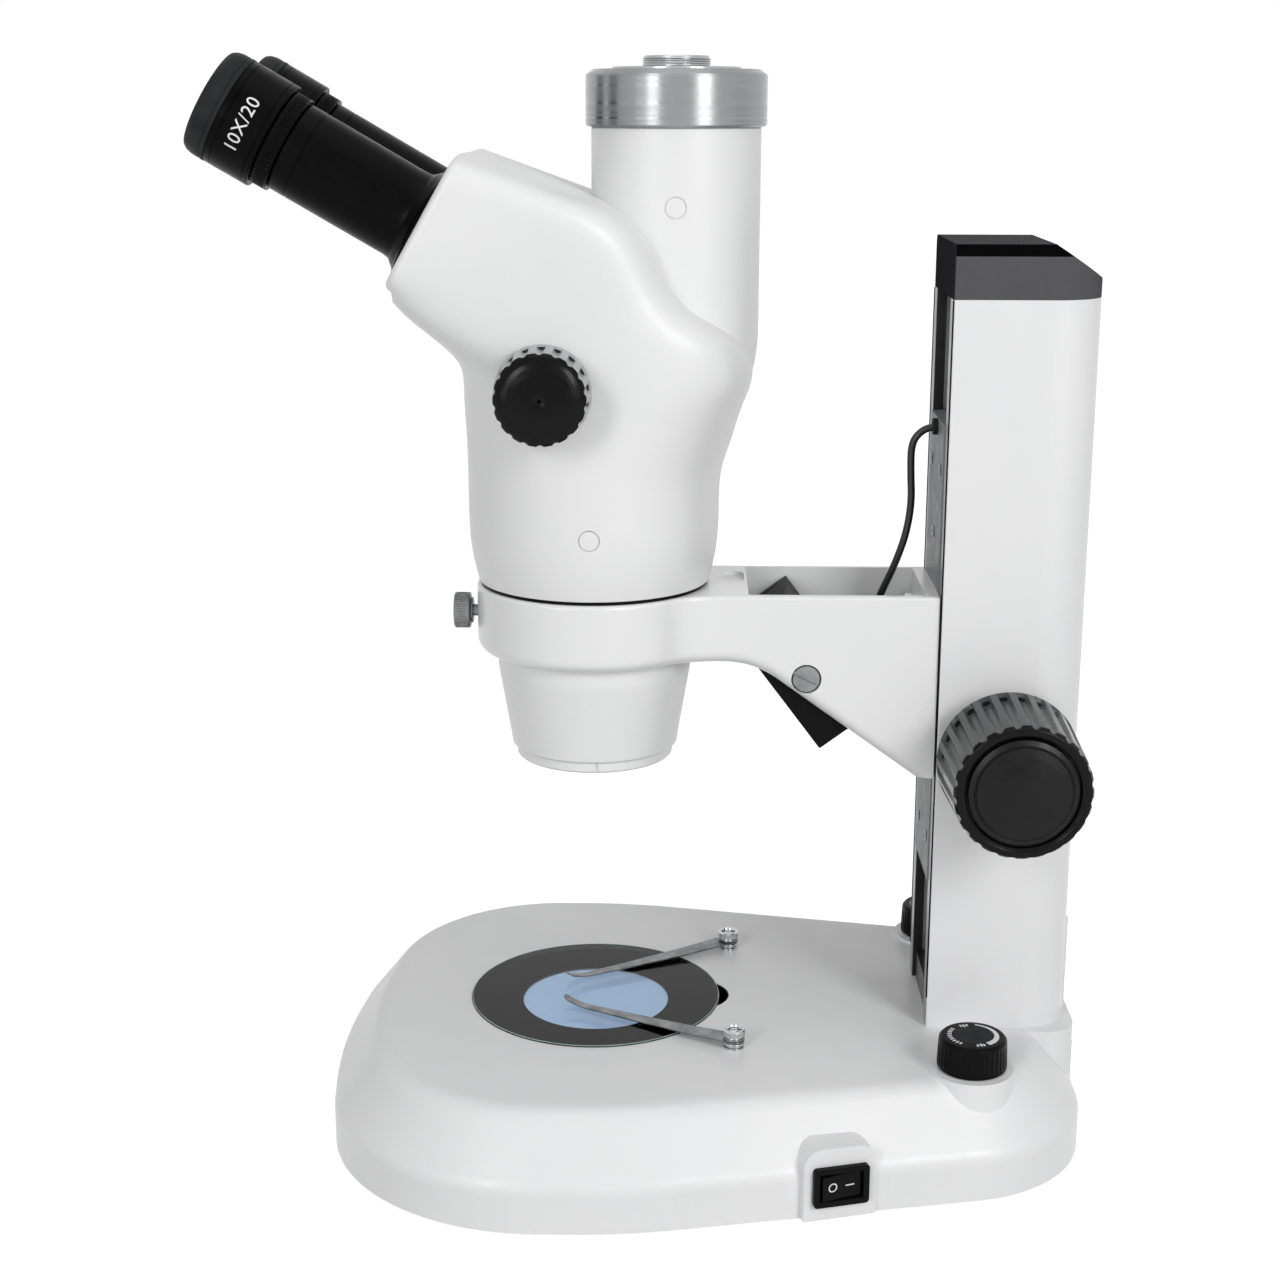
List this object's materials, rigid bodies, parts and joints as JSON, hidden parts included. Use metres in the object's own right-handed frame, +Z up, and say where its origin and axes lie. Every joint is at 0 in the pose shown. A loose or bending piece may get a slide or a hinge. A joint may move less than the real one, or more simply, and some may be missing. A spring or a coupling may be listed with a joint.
{
  "type": "stereo zoom microscope",
  "caption": "Trinocular stereo zoom microscope head in an arm that a rack and pinion raises on an upright column, over a foot with a lit glass stage and an arm lamp.",
  "frame": {"origin": "centre of the overall box at the plane the rubber feet stand on", "axes": "+Z up; -Y towards the person looking in, who has +X on their right hand"},
  "size_m": [0.243, 0.3404, 0.4172],
  "materials": {
    "arm_paint": "smooth gloss white paint",
    "black_anodised": "black anodised",
    "black_plastic": "satin black moulding",
    "blue_diffuser": "frosted blue",
    "board": "circuit board",
    "brass": "turned brass",
    "bright_steel": "turned steel",
    "cap_grey": "dark grey moulding with a gloss bevel",
    "chrome": "bright plated",
    "column_paint": "satin white paint on a drawn track",
    "dark_paint": "satin near-black paint",
    "glass": "clear plate glass",
    "gloss_black": "gloss black moulding",
    "mask_grey": "dark grey print",
    "optic_glass": "coated lens",
    "rubber": "soft black rubber",
    "white_paint": "fine orange-peel white paint"
  },
  "bodies": {
    "stand": {"base_shell": "white_paint", "base_bottom_cover": "dark_paint", "base_cover_screws": "bright_steel", "rubber_feet": "rubber", "stage_glass": "glass", "stage_mask": "mask_grey", "stage_diffuser": "blue_diffuser", "stage_lamp_board": "board", "driver_board": "board", "dimmer_pots": "dark_paint", "switch_frame": "gloss_black", "power_inlet": "black_plastic", "stage_clip_posts": "bright_steel", "column": "column_paint", "column_cap": "cap_grey", "column_back_cover": "column_paint", "focus_shaft_bushes": "brass"},
    "carriage": {"carriage_plate": "column_paint", "focus_rack": "brass", "arm": "arm_paint", "arm_bolts": "bright_steel", "lamp_pivot_screws": "bright_steel", "cable_gland": "rubber", "lamp_terminal": "black_plastic", "lamp_lead": "rubber"},
    "focus_drive": {"focus_shaft": "bright_steel", "focus_pinion": "bright_steel", "focus_knob_right": "black_plastic", "focus_knob_left": "black_plastic", "focus_knob_caps": "black_plastic"},
    "head": {"head_housing": "white_paint", "trinocular_tube": "white_paint", "lower_barrel": "white_paint", "objective_ring": "white_paint", "objective_lens": "optic_glass", "port_ring": "bright_steel", "camera_mount": "chrome", "housing_plugs": "white_paint", "zoom_lens_tubes": "black_anodised"},
    "zoom_drive": {"zoom_shaft": "bright_steel", "zoom_knob_right": "black_plastic", "zoom_knob_left": "black_plastic"},
    "eyetube_left_body": {"eyetube_left": "black_anodised"},
    "eyetube_right_body": {"eyetube_right": "black_anodised"},
    "diopter_left_body": {"diopter_ring_left": "black_anodised"},
    "diopter_right_body": {"diopter_ring_right": "black_anodised"},
    "eyepiece_left_body": {"eyepiece_left": "black_anodised", "eyecup_left": "rubber", "eye_lens_left": "optic_glass"},
    "eyepiece_right_body": {"eyepiece_right": "black_anodised", "eyecup_right": "rubber", "eye_lens_right": "optic_glass"},
    "lamp": {"lamp_housing": "dark_paint", "lamp_window": "glass"},
    "clamp": {"clamp_screw": "bright_steel"},
    "clip_left": {"stage_clip_left": "bright_steel"},
    "clip_right": {"stage_clip_right": "bright_steel"},
    "rocker": {"power_rocker": "gloss_black"},
    "dimmer_left": {"dimmer_knob_left": "black_plastic"},
    "dimmer_right": {"dimmer_knob_right": "black_plastic"}
  },
  "joints": [
    {"name": "carriage_slide", "type": "slide", "parent": "stand", "child": "carriage", "axis": [0, 0, 1], "range_m": [-0.044, 0.044]},
    {"name": "focus_turn", "type": "hinge", "parent": "stand", "child": "focus_drive", "pos_m": [0, 0.13448, 0.1571], "axis": [1, 0, 0], "range_deg": [-285, 285]},
    {"name": "head_turn", "type": "hinge", "parent": "carriage", "child": "head", "pos_m": [0, -0.02492, 0.205], "axis": [0, 0, 1], "range_deg": [-130, 130]},
    {"name": "zoom_turn", "type": "hinge", "parent": "head", "child": "zoom_drive", "pos_m": [0, -0.04132, 0.2985], "axis": [1, 0, 0], "range_deg": [-150, 150]},
    {"name": "eyetube_left_swing", "type": "hinge", "parent": "head", "child": "eyetube_left_body", "pos_m": [-0.0315, -0.09272, 0.34548], "axis": [0, -0.866, 0.5], "range_deg": [-24, 24]},
    {"name": "eyetube_right_swing", "type": "hinge", "parent": "head", "child": "eyetube_right_body", "pos_m": [0.0315, -0.09272, 0.34548], "axis": [0, -0.866, 0.5], "range_deg": [-24, 24]},
    {"name": "eyepiece_left_lift", "type": "slide", "parent": "eyetube_left_body", "child": "eyepiece_left_body", "axis": [0, -0.866, 0.5], "range_m": [0, 0.004]},
    {"name": "eyepiece_right_lift", "type": "slide", "parent": "eyetube_right_body", "child": "eyepiece_right_body", "axis": [0, -0.866, 0.5], "range_m": [0, 0.004]},
    {"name": "diopter_left_turn", "type": "hinge", "parent": "eyetube_left_body", "child": "diopter_left_body", "pos_m": [-0.0315, -0.08572, 0.3576], "axis": [0, -0.866, 0.5], "range_deg": [0, 302]},
    {"name": "diopter_right_turn", "type": "hinge", "parent": "eyetube_right_body", "child": "diopter_right_body", "pos_m": [0.0315, -0.08572, 0.3576], "axis": [0, -0.866, 0.5], "range_deg": [0, 302]},
    {"name": "lamp_tilt", "type": "hinge", "parent": "carriage", "child": "lamp", "pos_m": [0, 0.05758, 0.1857], "axis": [1, 0, 0], "range_deg": [-12, 12]},
    {"name": "clamp_turn", "type": "hinge", "parent": "carriage", "child": "clamp", "pos_m": [0, -0.07492, 0.2056], "axis": [0, -1, 0], "range_deg": [-90, 90]},
    {"name": "clip_left_swing", "type": "hinge", "parent": "stand", "child": "clip_left", "pos_m": [-0.0495, 0.03108, 0.045], "axis": [0, 0, 1], "range_deg": [-60, 4]},
    {"name": "clip_right_swing", "type": "hinge", "parent": "stand", "child": "clip_right", "pos_m": [0.0495, 0.03108, 0.045], "axis": [0, 0, 1], "range_deg": [-4, 60]},
    {"name": "rocker_swing", "type": "hinge", "parent": "stand", "child": "rocker", "pos_m": [0.10734, 0.06908, 0.0152], "axis": [0, 0, 1], "range_deg": [-18, 0]},
    {"name": "dimmer_left_turn", "type": "hinge", "parent": "stand", "child": "dimmer_left", "pos_m": [-0.067, 0.12158, 0.05], "axis": [0, 0, 1], "range_deg": [-135, 135]},
    {"name": "dimmer_right_turn", "type": "hinge", "parent": "stand", "child": "dimmer_right", "pos_m": [0.067, 0.12158, 0.05], "axis": [0, 0, 1], "range_deg": [-135, 135]}
  ],
  "couplings": [
    {"joint": "focus_turn", "follows": "carriage_slide", "rad_per_m": -111.11},
    {"joint": "eyetube_right_swing", "follows": "eyetube_left_swing", "ratio": -1},
    {"joint": "diopter_left_turn", "follows": "eyepiece_left_lift", "rad_per_m": 1309},
    {"joint": "diopter_right_turn", "follows": "eyepiece_right_lift", "rad_per_m": 1309}
  ]
}
